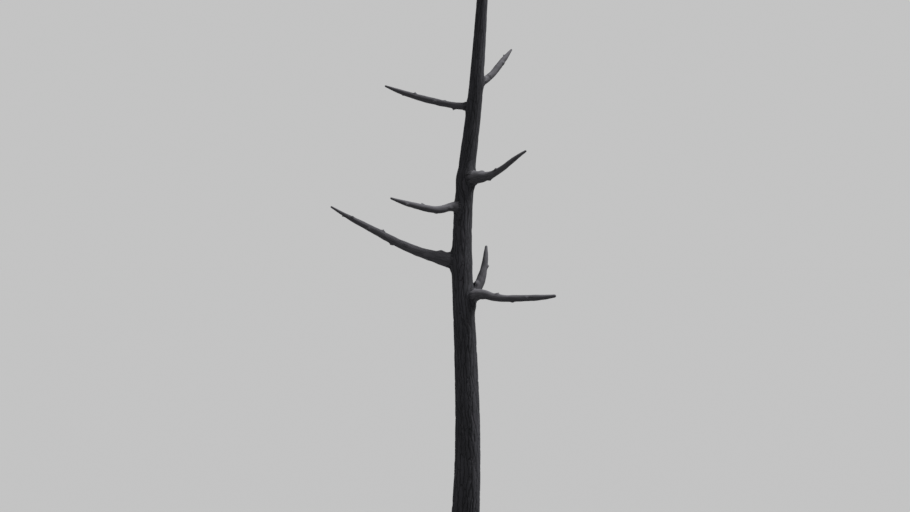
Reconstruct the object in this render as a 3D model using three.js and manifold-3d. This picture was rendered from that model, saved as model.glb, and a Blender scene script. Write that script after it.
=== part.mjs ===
// A dead standing tree: one slender trunk with a root flare, and eleven bare boughs that curve up
// like horns. Millimetres, +Z up. The origin is the middle of the flat cut at ground level.

import * as THREE from 'three';
import { mergeVertices } from 'three/addons/utils/BufferGeometryUtils.js';
import Module from 'manifold-3d';

const wasm = await Module();
wasm.setup();

// ---------------------------------------------------------------------------------------------
// Driving dimensions
// ---------------------------------------------------------------------------------------------

// The trunk, without its root flare, is FOOT_DIAMETER at the ground and narrows to TIP_DIAMETER.
// TAPER is the power of the height left above: 1 is a straight cone, 0.5 a paraboloid.
const TREE_HEIGHT = 7700;
const FOOT_DIAMETER = 296;
const TIP_DIAMETER = 14;
const TAPER = 0.65;

// How far the trunk's centre line wanders sideways, as [height, x, y].
const SWAY = [
  [0, 0, 0],
  [1500, 66, -22],
  [2500, 42, -8],
  [3400, 6, 18],
  [4080, 30, 30],
  [5000, 134, 12],
  [6000, 207, -24],
  [7700, 300, -70],
];

// The root flare: an even skirt and five swelling roots, both fading upwards. A root is
// [heading in degrees, how far it stands out].
const FLARE_REACH = 62;
const FLARE_HEIGHT = 230;
const ROOTS = [
  [18, 66],
  [92, 48],
  [157, 70],
  [226, 52],
  [301, 60],
];
const ROOT_HEIGHT = 360;
const ROOT_SHARPNESS = 9;

// The trunk isn't quite round: three soft ridges run up it, evenly spaced, with flats between them.
// A ridge stands out by a share of the trunk's radius. The front one faces RIDGE_HEADING.low near
// the ground, swings round between the two heights of RIDGE_SWING, and stays at RIDGE_HEADING.high.
const RIDGES = 3;
const RIDGE_SHARE = 0.045;
const RIDGE_HEADING = { low: -50, high: -84 };
const RIDGE_SWING = [1200, 2100];

// A bough's shape is given at these shares of its length. The first is on the trunk's centre line,
// where the bough is buried, the second is where it leaves the bark, and the last is its tip.
const STATIONS = [0, 0.1, 0.25, 0.5, 0.8, 1];

// Each bough leaves the trunk's centre line at a height and turns evenly from its first heading to
// its second (0 is +X, 90 is +Y, in degrees). At each station, climb is its angle above level and
// girth is its diameter.
const BOUGHS = [
  {
    name: 'bough_low_right',
    height: 2978,
    heading: [-32, -12],
    length: 1010,
    climb: [5, 45, -13, 1, 3, 9],
    girth: [116, 134, 90, 70, 58, 30],
  },
  {
    name: 'bough_low_rising',
    height: 2942,
    heading: [12, 88],
    length: 713,
    climb: [48, 46, 53, 62, 70, 60],
    girth: [104, 114, 103, 88, 54, 24],
  },
  {
    name: 'bough_long_left',
    height: 3375,
    heading: [178, 165],
    length: 1477,
    climb: [15, 12, 17, 27, 27, 31],
    girth: [112, 142, 106, 82, 56, 17],
  },
  {
    name: 'bough_mid_left',
    height: 3935,
    heading: [-128, -172],
    length: 866,
    climb: [-11, 8, -17, 8, 14, 22],
    girth: [90, 96, 80, 70, 53, 18],
  },
  {
    name: 'bough_mid_right',
    height: 4208,
    heading: [-50, -8],
    length: 769,
    climb: [1, 12, -3, 26, 37, 30],
    girth: [104, 130, 116, 63, 49, 19],
  },
  {
    name: 'bough_back',
    height: 4540,
    heading: [92, 86],
    length: 760,
    climb: [10, 14, 20, 30, 36, 40],
    girth: [76, 84, 70, 58, 38, 12],
  },
  {
    name: 'bough_high_left',
    height: 4942,
    heading: [168, 160],
    length: 984,
    climb: [3, 2, 12, 15, 20, 23],
    girth: [68, 68, 64, 65, 49, 18],
  },
  {
    name: 'bough_high_right',
    height: 5183,
    heading: [50, 55],
    length: 748,
    climb: [12, 14, 28, 42, 39, 41],
    girth: [76, 82, 70, 67, 50, 18],
  },
  {
    name: 'bough_top_left',
    height: 6330,
    heading: [-136, -156],
    length: 470,
    climb: [10, 14, 18, 26, 34, 38],
    girth: [46, 48, 42, 36, 24, 10],
  },
  {
    name: 'bough_top_right',
    height: 6640,
    heading: [34, 24],
    length: 400,
    climb: [22, 26, 30, 36, 42, 40],
    girth: [40, 42, 36, 30, 20, 9],
  },
  {
    name: 'bough_top_back',
    height: 7010,
    heading: [138, 152],
    length: 280,
    climb: [28, 30, 34, 40, 44, 46],
    girth: [29, 30, 26, 22, 15, 8],
  },
];

// Every bough swells once more as it meets the trunk, over its last COLLAR_RUN of bare length.
const COLLAR_SWELL = 0.22;
const COLLAR_RUN = 34;

// A bough is cut to fit whatever it grows from, and stays this far clear of it.
const SEAT_GAP = 0.3;

// Facets: the trunk's rings stand closer together near the ground, by the power RING_SPACING.
const TRUNK_SIDES = 20;
const TRUNK_RINGS = 48;
const RING_SPACING = 1.5;
const BOUGH_SIDES = 10;
const BOUGH_RINGS = 18;
const STEPS_PER_RING = 8;

const DEAD_BARK = new THREE.MeshStandardMaterial({ color: 0x3c3c3f, roughness: 0.92, metalness: 0 });
const BARE_WOOD = new THREE.MeshStandardMaterial({ color: 0x6d6c6b, roughness: 0.85, metalness: 0 });

// ---------------------------------------------------------------------------------------------
// Helpers
// ---------------------------------------------------------------------------------------------

// A smooth value that passes through each of values at each of places.
function smoothThrough(places, values) {
  const spline = new THREE.CubicInterpolant(places, values, 1);
  return (place) => spline.evaluate(place)[0];
}

// A closed cylinder whose every vertex is put where place(along, angle, out) says: along runs from
// 0 at the foot to 1 at the tip, and out is 1 on the side and 0 in the middle of an end.
function bentCylinder(sides, rings, place) {
  const shape = new THREE.CylinderGeometry(1, 1, 1, sides, rings);
  const spots = shape.attributes.position;
  const spot = new THREE.Vector3();
  for (let i = 0; i < spots.count; i += 1) {
    spot.fromBufferAttribute(spots, i);
    const along = spot.y + 0.5;
    const angle = Math.atan2(spot.x, spot.z);
    const out = Math.hypot(spot.x, spot.z);
    const moved = place(along, angle, out);
    spots.setXYZ(i, moved.x, moved.y, moved.z);
  }
  shape.deleteAttribute('normal');
  shape.deleteAttribute('uv');
  return mergeVertices(shape);
}

function toSolid(geometry) {
  const vertProperties = new Float32Array(geometry.attributes.position.array);
  const triVerts = new Uint32Array(geometry.index.array);
  return new wasm.Manifold(new wasm.Mesh({ numProp: 3, vertProperties, triVerts }));
}

function toGeometry(solid) {
  const mesh = solid.getMesh();
  const geometry = new THREE.BufferGeometry();
  geometry.setAttribute('position', new THREE.BufferAttribute(mesh.vertProperties, 3));
  geometry.setIndex(new THREE.BufferAttribute(mesh.triVerts, 1));
  geometry.computeVertexNormals();
  return geometry;
}

// ---------------------------------------------------------------------------------------------
// Trunk
// ---------------------------------------------------------------------------------------------

const swayHeights = SWAY.map(([height]) => height);
const swayX = smoothThrough(swayHeights, SWAY.map(([, x]) => x));
const swayY = smoothThrough(swayHeights, SWAY.map(([, , y]) => y));

function trunkCentre(height) {
  return new THREE.Vector3(swayX(height), swayY(height), height);
}

function rootReach(height, angle) {
  const fade = Math.exp(-height / ROOT_HEIGHT);
  let reach = 0;
  for (const [heading, stands] of ROOTS) {
    const off = angle - THREE.MathUtils.degToRad(heading);
    reach += stands * fade * Math.exp(ROOT_SHARPNESS * (Math.cos(off) - 1));
  }
  return reach;
}

function ridgeHeading(height) {
  const swing = THREE.MathUtils.smoothstep(height, ...RIDGE_SWING);
  return THREE.MathUtils.degToRad(THREE.MathUtils.lerp(RIDGE_HEADING.low, RIDGE_HEADING.high, swing));
}

function trunkRadius(height, angle) {
  const left = 1 - height / TREE_HEIGHT;
  const round = Math.max(FOOT_DIAMETER * left ** TAPER, TIP_DIAMETER) / 2;
  const ridged = 1 + RIDGE_SHARE * Math.cos(RIDGES * (angle - ridgeHeading(height)));
  const flare = FLARE_REACH * Math.exp(-height / FLARE_HEIGHT);
  return round * ridged + flare + rootReach(height, angle);
}

// The trunk's rings lie level, so that the ground cuts it flat. grow makes it thicker all round.
function trunkShape(grow) {
  return bentCylinder(TRUNK_SIDES, TRUNK_RINGS, (along, angle, out) => {
    const height = TREE_HEIGHT * along ** RING_SPACING;
    const radius = out * (trunkRadius(height, angle) + grow);
    const side = new THREE.Vector3(Math.cos(angle), Math.sin(angle), 0);
    return trunkCentre(height).addScaledVector(side, radius);
  });
}

// ---------------------------------------------------------------------------------------------
// Boughs
// ---------------------------------------------------------------------------------------------

// A bough's centre line is walked out from the trunk's in short straight steps.
function boughLine(bough) {
  const climbAt = smoothThrough(STATIONS, bough.climb);
  const [first, last] = bough.heading;
  const steps = BOUGH_RINGS * STEPS_PER_RING;
  const spot = trunkCentre(bough.height);
  const points = [spot.clone()];
  for (let i = 0; i < steps; i += 1) {
    const along = (i + 0.5) / steps;
    const climb = THREE.MathUtils.degToRad(climbAt(along));
    const heading = THREE.MathUtils.degToRad(THREE.MathUtils.lerp(first, last, along));
    const level = Math.cos(climb);
    const way = new THREE.Vector3(level * Math.cos(heading), level * Math.sin(heading), Math.sin(climb));
    spot.addScaledVector(way, bough.length / steps);
    if ((i + 1) % STEPS_PER_RING === 0) {
      points.push(spot.clone());
    }
  }
  return new THREE.CatmullRomCurve3(points);
}

function boughRadius(bough) {
  const girthAt = smoothThrough(STATIONS, bough.girth);
  const bark = trunkRadius(bough.height, THREE.MathUtils.degToRad(bough.heading[0]));
  return (along) => {
    const bare = Math.max(along * bough.length - bark, 0);
    return (girthAt(along) / 2) * (1 + COLLAR_SWELL * Math.exp(-bare / COLLAR_RUN));
  };
}

function boughShape(bough, grow) {
  const line = boughLine(bough);
  const radiusAt = boughRadius(bough);
  const frames = line.computeFrenetFrames(BOUGH_RINGS);
  return bentCylinder(BOUGH_SIDES, BOUGH_RINGS, (along, angle, out) => {
    const ring = Math.round(along * BOUGH_RINGS);
    const radius = out * (radiusAt(along) + grow);
    const spot = line.getPoint(along);
    spot.addScaledVector(frames.normals[ring], radius * Math.cos(angle));
    spot.addScaledVector(frames.binormals[ring], radius * Math.sin(angle));
    return spot;
  });
}

// ---------------------------------------------------------------------------------------------
// The tree
// ---------------------------------------------------------------------------------------------

function limb(name, geometry, material) {
  const mesh = new THREE.Mesh(geometry, material);
  mesh.name = name;
  return mesh;
}

const tree = new THREE.Group();
tree.add(limb('trunk', trunkShape(0), DEAD_BARK));

// Where two boughs leave the trunk together, the later one in the list is cut to fit the earlier.
const carriers = [toSolid(trunkShape(SEAT_GAP))];
for (const bough of BOUGHS) {
  let solid = toSolid(boughShape(bough, 0));
  for (const carrier of carriers) {
    solid = solid.subtract(carrier);
  }
  tree.add(limb(bough.name, toGeometry(solid), BARE_WOOD));
  carriers.push(toSolid(boughShape(bough, SEAT_GAP)));
}

export default tree;
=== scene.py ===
# %% [markdown]
# # A dead tree, standing
#
# This lesson finishes one slender tree that died on its root and lost its crown. What is left is
# a swaying trunk in charcoal-grey bark and eleven short boughs, barkless and curved like horns.
#
# The solid tree already exists as a plain faceted model, the frame. It holds every size and place.
# We never move it. We read each limb from it, and grow a fine skin of bark or bare wood in its
# place. All lengths are in metres, Z is up, and the trunk's flat cut lies on the ground at Z = 0.

import math

import bpy
import numpy as np
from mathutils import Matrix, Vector
from mathutils.bvhtree import BVHTree


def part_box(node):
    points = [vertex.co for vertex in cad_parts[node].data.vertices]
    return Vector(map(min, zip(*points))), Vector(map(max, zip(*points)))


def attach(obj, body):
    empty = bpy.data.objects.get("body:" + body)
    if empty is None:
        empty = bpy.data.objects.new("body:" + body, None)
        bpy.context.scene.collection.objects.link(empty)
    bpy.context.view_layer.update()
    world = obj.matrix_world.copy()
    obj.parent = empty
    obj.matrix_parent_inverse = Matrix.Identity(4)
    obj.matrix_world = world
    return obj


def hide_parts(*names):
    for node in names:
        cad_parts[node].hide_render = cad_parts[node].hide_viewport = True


MM = 0.001

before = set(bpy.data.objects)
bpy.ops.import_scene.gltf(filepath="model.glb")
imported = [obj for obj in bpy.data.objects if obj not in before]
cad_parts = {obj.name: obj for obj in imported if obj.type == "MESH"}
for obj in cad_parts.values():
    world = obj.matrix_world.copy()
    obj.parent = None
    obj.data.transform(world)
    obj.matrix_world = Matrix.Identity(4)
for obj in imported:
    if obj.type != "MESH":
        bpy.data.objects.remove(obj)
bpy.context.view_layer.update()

TRUNK = "trunk"
BOUGHS = sorted(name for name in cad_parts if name.startswith("bough_"))
TREE_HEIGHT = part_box(TRUNK)[1].z

print(f"a trunk {TREE_HEIGHT:.2f} m tall with {len(BOUGHS)} boughs")


# %% [markdown]
# ## The camera
#
# A tree is best seen from a little way off with a plain lens, so that near and far boughs keep
# their true proportions. A 50 mm lens on a full-frame sensor sees a strip 9.1 m wide when it
# stands about 12.6 m away. It looks level, from between the lowest and the highest big boughs, so
# the root and the tip lie outside the picture.

# %% Camera
VIEW_WIDTH = 9.1
VIEW_MIDDLE = Vector((-0.065, 0.0, 3.445))
LENS = 50.0
SENSOR = 36.0
HORIZON = 900.0

camera_data = bpy.data.cameras.new("level_camera")
camera_data.lens = LENS
camera_data.sensor_width = SENSOR
camera_data.clip_end = HORIZON
camera = bpy.data.objects.new("level_camera", camera_data)
camera.location = VIEW_MIDDLE - Vector((0.0, VIEW_WIDTH * LENS / SENSOR, 0.0))
camera.rotation_euler = (math.radians(90), 0.0, 0.0)
bpy.context.scene.collection.objects.link(camera)
bpy.context.scene.camera = camera

print(f"the camera stands {-camera.location.y:.2f} m in front of the trunk")


# %% [markdown]
# ## Studio: a soft sun, an even sky and a pale floor
#
# One wide, soft sun stands high to the right, as a large softbox would. The tops of the boughs and
# the right side of the trunk catch it, and the left side stays dark. An even pale sky fills the
# shadows.
#
# The floor is plain and pale. Its grey is worked out so that the lit floor is exactly as bright as
# the sky, and no horizon cuts through the picture.

# %% Light and floor
SKY = 0.55
SUN_STRENGTH = 7.0
SUN_SPREAD = math.radians(24)
TO_SUN = Vector((0.54, 0.04, 0.84)).normalized()
FLOOR_RADIUS = 300.0

scene = bpy.context.scene
scene.view_settings.view_transform = "Standard"

world = bpy.data.worlds.new("even_pale_sky")
world.use_nodes = True
world.node_tree.nodes["Background"].inputs["Color"].default_value = (SKY, SKY, SKY, 1.0)
scene.world = world

sun_data = bpy.data.lights.new("soft_sun", "SUN")
sun_data.energy = SUN_STRENGTH
sun_data.angle = SUN_SPREAD
sun = bpy.data.objects.new("soft_sun", sun_data)
sun.rotation_euler = TO_SUN.to_track_quat("Z", "Y").to_euler()
scene.collection.objects.link(sun)

floor_grey = SKY / (SKY + SUN_STRENGTH * TO_SUN.z / math.pi)
floor_paint = bpy.data.materials.new("matt_floor_paint")
floor_paint.use_nodes = True
floor_shader = floor_paint.node_tree.nodes["Principled BSDF"]
floor_shader.inputs["Base Color"].default_value = (floor_grey, floor_grey, floor_grey, 1.0)
floor_shader.inputs["Roughness"].default_value = 1.0
floor_shader.inputs["Specular IOR Level"].default_value = 0.0

floor_mesh = bpy.data.meshes.new("studio_floor")
FLOOR_SIDES = 64
turns = np.linspace(0, 2 * math.pi, FLOOR_SIDES, endpoint=False)
floor_edge = np.stack([np.cos(turns), np.sin(turns), np.zeros(FLOOR_SIDES)], axis=1) * FLOOR_RADIUS
floor_mesh.from_pydata(floor_edge.tolist(), [], [list(range(FLOOR_SIDES))])
floor_mesh.materials.append(floor_paint)
floor = bpy.data.objects.new("studio_floor", floor_mesh)
scene.collection.objects.link(floor)

print(f"the floor reflects {floor_grey:.2f} of the light and looks as bright as the sky, {SKY:.2f}")


# %% [markdown]
# ## Reading a limb from the frame
#
# The frame is made of loose triangles. To skin a limb we need its middle line, and how far the
# surface lies from it. Two ways suit the two kinds of limb.
#
# The trunk stands upright, so we climb it in level steps and feel outwards from its middle with
# rays, in every direction. That keeps the root flare and the slow ridges that run up it.
#
# A bough curves, so we start in its middle and feel our way to both ends: each step cuts it square
# to its own direction, and the middle of that cut gives the next direction.

# %% Triangles and surfaces
def triangles_of(name):
    """The corners of a limb's triangles, as an array of triangle, corner and xyz."""
    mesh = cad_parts[name].data
    mesh.calc_loop_triangles()
    points = np.empty(len(mesh.vertices) * 3)
    mesh.vertices.foreach_get("co", points)
    corners = np.empty(len(mesh.loop_triangles) * 3, dtype=np.int32)
    mesh.loop_triangles.foreach_get("vertices", corners)
    return points.reshape(-1, 3)[corners].reshape(-1, 3, 3)


def surface_of(triangles):
    """A tree of triangles that rays and nearest points can be looked up in."""
    return BVHTree.FromPolygons(triangles.reshape(-1, 3).tolist(),
                                np.arange(triangles.shape[0] * 3).reshape(-1, 3).tolist())


WEIGHT_REACHES = 3


def smoothed(values, reach, closed=False):
    """Averages along the first axis over about reach steps. An open run keeps its two ends in place."""
    half = int(math.ceil(WEIGHT_REACHES * reach))
    weights = np.exp(-0.5 * (np.arange(-half, half + 1) / reach) ** 2)
    weights /= weights.sum()
    sides = [(half, half)] + [(0, 0)] * (values.ndim - 1)
    ends = {"mode": "wrap"} if closed else {"mode": "reflect", "reflect_type": "odd"}
    padded = np.pad(values, sides, **ends)
    return np.apply_along_axis(np.convolve, 0, padded, weights, mode="valid")


frame_triangles = {name: triangles_of(name) for name in [TRUNK, *BOUGHS]}
trunk_surface = surface_of(frame_triangles[TRUNK])

print(sum(len(t) for t in frame_triangles.values()), "triangles in the frame")


# %% [markdown]
# ## The trunk's shape
#
# The rings lie closer together at the foot, where the bark is coarse and the roots flare, and
# further apart towards the tip. The rays read flat facets, so the distances are then averaged a
# little around the trunk and along it, as wide as the facets are, and the trunk is round again.

# %% Climbing the trunk
TRUNK_SIDES = 184
TRUNK_RINGS = 525
FOOT_SPACING = 0.6
FACET_TURN = math.radians(6)
FACET_HEIGHT = 60 * MM
TIP_ROUNDING = 10 * MM
TIP_RINGS = 8
INSET = 1 * MM
BREAST_HEIGHT = 1.3

climb = np.linspace(0, 1, TRUNK_RINGS)
ring_heights = (TREE_HEIGHT - TIP_ROUNDING) * (FOOT_SPACING * climb + (1 - FOOT_SPACING) * climb ** 2)
headings = np.linspace(0, 2 * math.pi, TRUNK_SIDES, endpoint=False)
outward = np.stack([np.cos(headings), np.sin(headings), np.zeros(TRUNK_SIDES)], axis=1)


def feel(middle):
    """The distance from a point inside the trunk to its surface, in each heading."""
    reached = np.array([trunk_surface.ray_cast(middle, way)[3] or np.nan for way in outward])
    known = np.isfinite(reached)
    return np.interp(headings, headings[known], reached[known], period=2 * math.pi)


ring_middles = np.zeros((TRUNK_RINGS, 3))
ring_reach = np.zeros((TRUNK_RINGS, TRUNK_SIDES))
middle = np.zeros(3)
for ring, height in enumerate(ring_heights):
    middle[2] = min(max(height, INSET), TREE_HEIGHT - INSET)
    offset = feel(middle)[:, None] * outward
    middle[:2] += offset.mean(axis=0)[:2]
    ring_middles[ring] = (middle[0], middle[1], height)
    ring_reach[ring] = feel(middle)

ring_steps = np.gradient(ring_heights)
ring_middles[:, :2] = smoothed(ring_middles[:, :2], FACET_HEIGHT / ring_steps.mean())
ring_reach = smoothed(ring_reach, FACET_HEIGHT / ring_steps.mean())
ring_reach = smoothed(ring_reach.T, FACET_TURN / (2 * math.pi / TRUNK_SIDES), closed=True).T
ring_girth = ring_reach.mean(axis=1)

breast_girth = np.interp(BREAST_HEIGHT, ring_heights, ring_girth)
print(f"the trunk is {2 * ring_girth[0] / MM:.0f} mm across at the ground and "
      f"{2 * breast_girth / MM:.0f} mm at breast height")


# %% [markdown]
# ## Cutting a bough
#
# A saw cut square to a bough shows how thick it is, and where its middle runs. Here the cut is a
# plane. Every triangle that crosses it leaves one short edge, and all those edges together are
# the outline of the cut. The outline's area gives the radius of a round bough of the same
# section, a little more than the flat facets enclose.

# %% Cutting a bough
CUT_WINDOW = 150 * MM
SMALLEST_CUT = 0.1 * MM ** 2
FACETED_TO_ROUND = 1.018


def cut(triangles, middle, along):
    """Cuts a limb square to its direction. Gives the cut's middle, its radius and its points."""
    height = (triangles - middle) @ along
    above = (height > 0).sum(axis=1)
    near = np.linalg.norm(triangles.mean(axis=1) - middle, axis=1) < CUT_WINDOW
    crossed = ((above == 1) | (above == 2)) & near
    if not crossed.any():
        return None
    height, corners, upright = height[crossed], triangles[crossed], above[crossed] == 1
    # The corner that is alone on its side of the plane comes first.
    lone = np.where(upright, height.argmax(axis=1), height.argmin(axis=1))
    turn = (lone[:, None] + np.arange(3)) % 3
    height = np.take_along_axis(height, turn, axis=1)
    corners = np.take_along_axis(corners, turn[:, :, None], axis=1)
    # The two edges that leave it pass through the plane at the ends of the short edge.
    share = height[:, :1] / (height[:, :1] - height[:, 1:])
    ends = corners[:, :1] + share[:, :, None] * (corners[:, 1:] - corners[:, :1])
    # With the middle, each short edge makes a thin triangle, and together they fill the section.
    spokes = ends - middle
    areas = np.cross(spokes[:, 0], spokes[:, 1]) @ along * np.where(upright, 0.5, -0.5)
    area = areas.sum()
    if abs(area) < SMALLEST_CUT:
        return None
    centre = middle + (areas[:, None] * spokes.sum(axis=1)).sum(axis=0) / 3 / area
    return centre, FACETED_TO_ROUND * math.sqrt(abs(area) / math.pi), ends.reshape(-1, 3)


# %% [markdown]
# ## Feeling along a bough
#
# From cut to cut, 10 mm apart, the middle of the last one tells where to go next. Near the trunk
# the frame's bough is trimmed to fit, so the feeling stops where a cut comes within a few
# millimetres of another limb. Before it stops, at the trunk or at the tip, the steps get shorter,
# so that nothing of the bough is missed.

# %% Following a bough
CUT_SPACING = 10 * MM
SHORTEST_STEP = 1 * MM
CLEARANCE = 4 * MM


def follow(triangles, start, along, others):
    """Feels its way along a bough from a cut in its middle, until the bough or its clear run ends."""
    line = []
    middle, step = start, CUT_SPACING
    while step > SHORTEST_STEP:
        found = cut(triangles, middle + step * along, along)
        if found is None or any(others.find_nearest(p, CLEARANCE)[0] for p in found[2]):
            step /= 2
            continue
        onward = found[0] - middle
        along = along + onward / np.linalg.norm(onward)
        along /= np.linalg.norm(along)
        middle = found[0]
        line.append((*middle, found[1]))
    return np.array(line)


def travel_along(line):
    """How far along a line each of its points lies."""
    return np.append(0, np.cumsum(np.linalg.norm(np.diff(line[:, :3], axis=0), axis=1)))


# %% [markdown]
# ## The boughs' lines
#
# The feeling starts in the middle of a bough, in the direction in which its points are spread
# furthest, and runs from there to both ends. The two halves make one line, which is then spaced
# evenly and smoothed a little, as the facets make it waver.

# %% Boughs' lines
CENTRINGS = 3
LINE_REACH = 40 * MM


def trunk_middle(height):
    """The middle of the trunk at a height."""
    return np.array([np.interp(height, ring_heights, ring_middles[:, axis]) for axis in range(3)])


def read_bough(name):
    """A bough's middle line and radius, from its clear base to its tip, as rows of x, y, z, radius."""
    triangles = frame_triangles[name]
    others = surface_of(np.concatenate([t for n, t in frame_triangles.items() if n != name]))
    points = triangles.reshape(-1, 3)
    middle = points.mean(axis=0)
    along = np.linalg.svd(points - middle, full_matrices=False)[2][0]
    if along @ (middle - trunk_middle(middle[2])) < 0:
        along = -along
    for _ in range(CENTRINGS):
        middle, radius, _ = cut(triangles, middle, along)
    out = follow(triangles, middle, along, others)
    back = follow(triangles, middle, -along, others)
    line = np.concatenate([back[::-1], [(*middle, radius)], out])
    travel = travel_along(line)
    even = np.linspace(0, travel[-1], int(travel[-1] / CUT_SPACING))
    line = np.stack([np.interp(even, travel, column) for column in line.T], axis=1)
    return smoothed(line, LINE_REACH / CUT_SPACING)


bough_lines = {name: read_bough(name) for name in BOUGHS}

for name, line in bough_lines.items():
    length = len(line) * CUT_SPACING
    print(f"{name}: {length:.2f} m clear of the trunk, "
          f"{2 * line[0, 3] / MM:.0f} mm thick at its base and {2 * line[-1, 3] / MM:.0f} mm at its tip")


# %% [markdown]
# ## Where bough and trunk meet
#
# A real bough runs on into the trunk as a knot, down to the pith. So each line is lengthened
# straight inwards, most of the way to the trunk's middle, and the bough's skin has no gap at its
# root.
#
# The point where the line passes through the bark is the bough's seat. The bark swells round it,
# and the grain of the trunk parts round it, like water round a stone.

# %% Boughs' seats
DEPTH_IN_TRUNK = 0.72
SEAT_SEARCH = 0.5
SEAT_STEPS = 400
BASE_POINTS = 4
FEWEST_POINTS = 3


def seat_and_root(line):
    """Where a bough's line passes through the bark, and where it ends inside the trunk."""
    start = line[0, :3]
    inwards = start - line[BASE_POINTS, :3]
    inwards /= np.linalg.norm(inwards)
    reach = np.linspace(0, SEAT_SEARCH, SEAT_STEPS)[:, None]
    path = start + reach * inwards
    middles = np.array([trunk_middle(height) for height in path[:, 2]])
    from_middle = np.linalg.norm((path - middles)[:, :2], axis=1)
    deepest = from_middle.argmin()
    girth = np.interp(path[:, 2], ring_heights, ring_girth)
    seat = np.abs(from_middle - girth)[:deepest + 1].argmin()
    return path[seat], path[int(seat + DEPTH_IN_TRUNK * (deepest - seat))]


bough_seats = {}
for name in BOUGHS:
    line = bough_lines[name]
    seat, root = seat_and_root(line)
    base, girth = line[0, :3], line[0, 3]
    count = max(FEWEST_POINTS, int(np.linalg.norm(root - base) / CUT_SPACING))
    inner = np.linspace(root, base, count, endpoint=False)
    bough_lines[name] = np.concatenate([np.column_stack([inner, np.full(count, girth)]), line])
    bough_seats[name] = (seat, girth)

print("the seats lie", ", ".join(f"{seat[2]:.2f}" for seat, _ in bough_seats.values()), "m up")


# %% [markdown]
# ## Collars
#
# Each year the trunk lays new wood round the base of a living bough, so bark and bough meet in a
# swollen collar, thickest underneath. When the bough dies the collar stays, like a cuff round a
# bare wrist.
#
# The collar is a rise of the trunk's bark that fades with the distance from the bough's surface.

# %% Raising the bark into collars
COLLAR_REACH = 1.15
COLLAR_RISE = 0.34
COLLAR_BELOW = 0.45
COLLAR_WINDOW = 0.40

trunk_points = ring_middles[:, None] + ring_reach[:, :, None] * outward
collar_rise = np.zeros((TRUNK_RINGS, TRUNK_SIDES))
for name in BOUGHS:
    seat, girth = bough_seats[name]
    rings = np.abs(ring_heights - seat[2]) < COLLAR_WINDOW
    line = bough_lines[name][np.linalg.norm(bough_lines[name][:, :3] - seat, axis=1) < COLLAR_WINDOW]
    spokes = trunk_points[rings][:, :, None] - line[:, :3]
    gap = (np.linalg.norm(spokes, axis=3) - line[:, 3]).min(axis=2)
    share = np.clip(1 - np.maximum(gap, 0) / (COLLAR_REACH * girth), 0, 1)
    under = np.clip((seat[2] - trunk_points[rings][:, :, 2]) / (2 * girth), 0, 1)
    rise = COLLAR_RISE * girth * share ** 2 * (1 + COLLAR_BELOW * under)
    collar_rise[rings] = np.maximum(collar_rise[rings], rise)

COLLAR_SOFTNESS = 1.2
collar_rise = smoothed(collar_rise, COLLAR_SOFTNESS)
collar_rise = smoothed(collar_rise.T, COLLAR_SOFTNESS, closed=True).T

print(f"the collars stand up to {collar_rise.max() / MM:.0f} mm proud of the trunk")


# %% [markdown]
# ## The grain's own coordinates
#
# Bark and wood split along the grain, so their patterns need coordinates that follow it. Each
# point of the trunk gets a place on an imaginary round log: how far round, and how far up. It is
# kept as x, y, z on that log, so the pattern has no seam.
#
# The log thins upwards only half as fast as the trunk, as the square root, so plates and furrows
# get finer towards the tip. The headings turn in a slow spiral, as the grain of most old trees
# does, and are pushed aside round each seat.
#
# The skin's own columns of points are laid along that grain. A furrow then runs along the mesh and
# not across it, and its walls stay clean.

# %% Grain round the trunk
GRAIN_SPIRAL = math.radians(5)
GRAIN_WANDER = math.radians(6)
WANDER_LENGTH = 1.7
LOG_RADIUS = 130 * MM
PART_WIDTH = 1.25
PART_LENGTH = 1.9

turned = GRAIN_SPIRAL * ring_heights
turned += GRAIN_WANDER * np.sin(2 * math.pi * ring_heights / WANDER_LENGTH)
grain_heading = headings + turned[:, None]
for seat, girth in bough_seats.values():
    centre = trunk_middle(seat[2])
    heading = math.atan2(seat[1] - centre[1], seat[0] - centre[0])
    aside = (headings - heading + math.pi) % (2 * math.pi) - math.pi
    across = aside * ring_girth[:, None] / (PART_WIDTH * girth)
    above = (ring_heights - seat[2])[:, None] / (PART_LENGTH * girth)
    far_side = (aside / math.pi) ** 2
    grain_heading -= aside * (1 - far_side) / (across ** 2 + above ** 2 + 1)

column_headings = np.empty((TRUNK_RINGS, TRUNK_SIDES))
for ring in range(TRUNK_RINGS):
    wanted = headings + turned[ring]
    back = headings - grain_heading[ring]
    column_headings[ring] = wanted + np.interp(wanted, grain_heading[ring], back, period=2 * math.pi)


def along_columns(values):
    """Moves values from even headings to the grain's own columns."""
    return np.stack([np.interp(column_headings[ring], headings, values[ring], period=2 * math.pi)
                     for ring in range(TRUNK_RINGS)])


column_ways = np.stack([np.cos(column_headings), np.sin(column_headings),
                        np.zeros_like(column_headings)], axis=2)
column_reach = along_columns(ring_reach)
column_rise = along_columns(collar_rise)
log_radius = LOG_RADIUS * np.sqrt(ring_girth / LOG_RADIUS)[:, None]
log_headings = headings + turned[:, None]
trunk_grain = np.stack([log_radius * np.cos(log_headings), log_radius * np.sin(log_headings),
                        np.tile(ring_heights[:, None], TRUNK_SIDES)], axis=2)

apart = np.diff(column_headings, axis=1) * ring_girth[:, None]
print(f"the grain's columns lie {apart.min() / MM:.1f} to {apart.max() / MM:.1f} mm apart")


# %% [markdown]
# ## From rings to a closed skin
#
# Rings of points become a tube of four-sided faces, and a last point in the middle of each end
# closes it. The flat cut on the ground stays flat-shaded, so its edge is crisp.
#
# The tip is finished with a few closing rings, like a thimble. The depth that the furrows may have
# is stored on the skin too. It follows the trunk's thickness, is less on the collars and at the
# foot, and is nothing on the closing rings.

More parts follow.
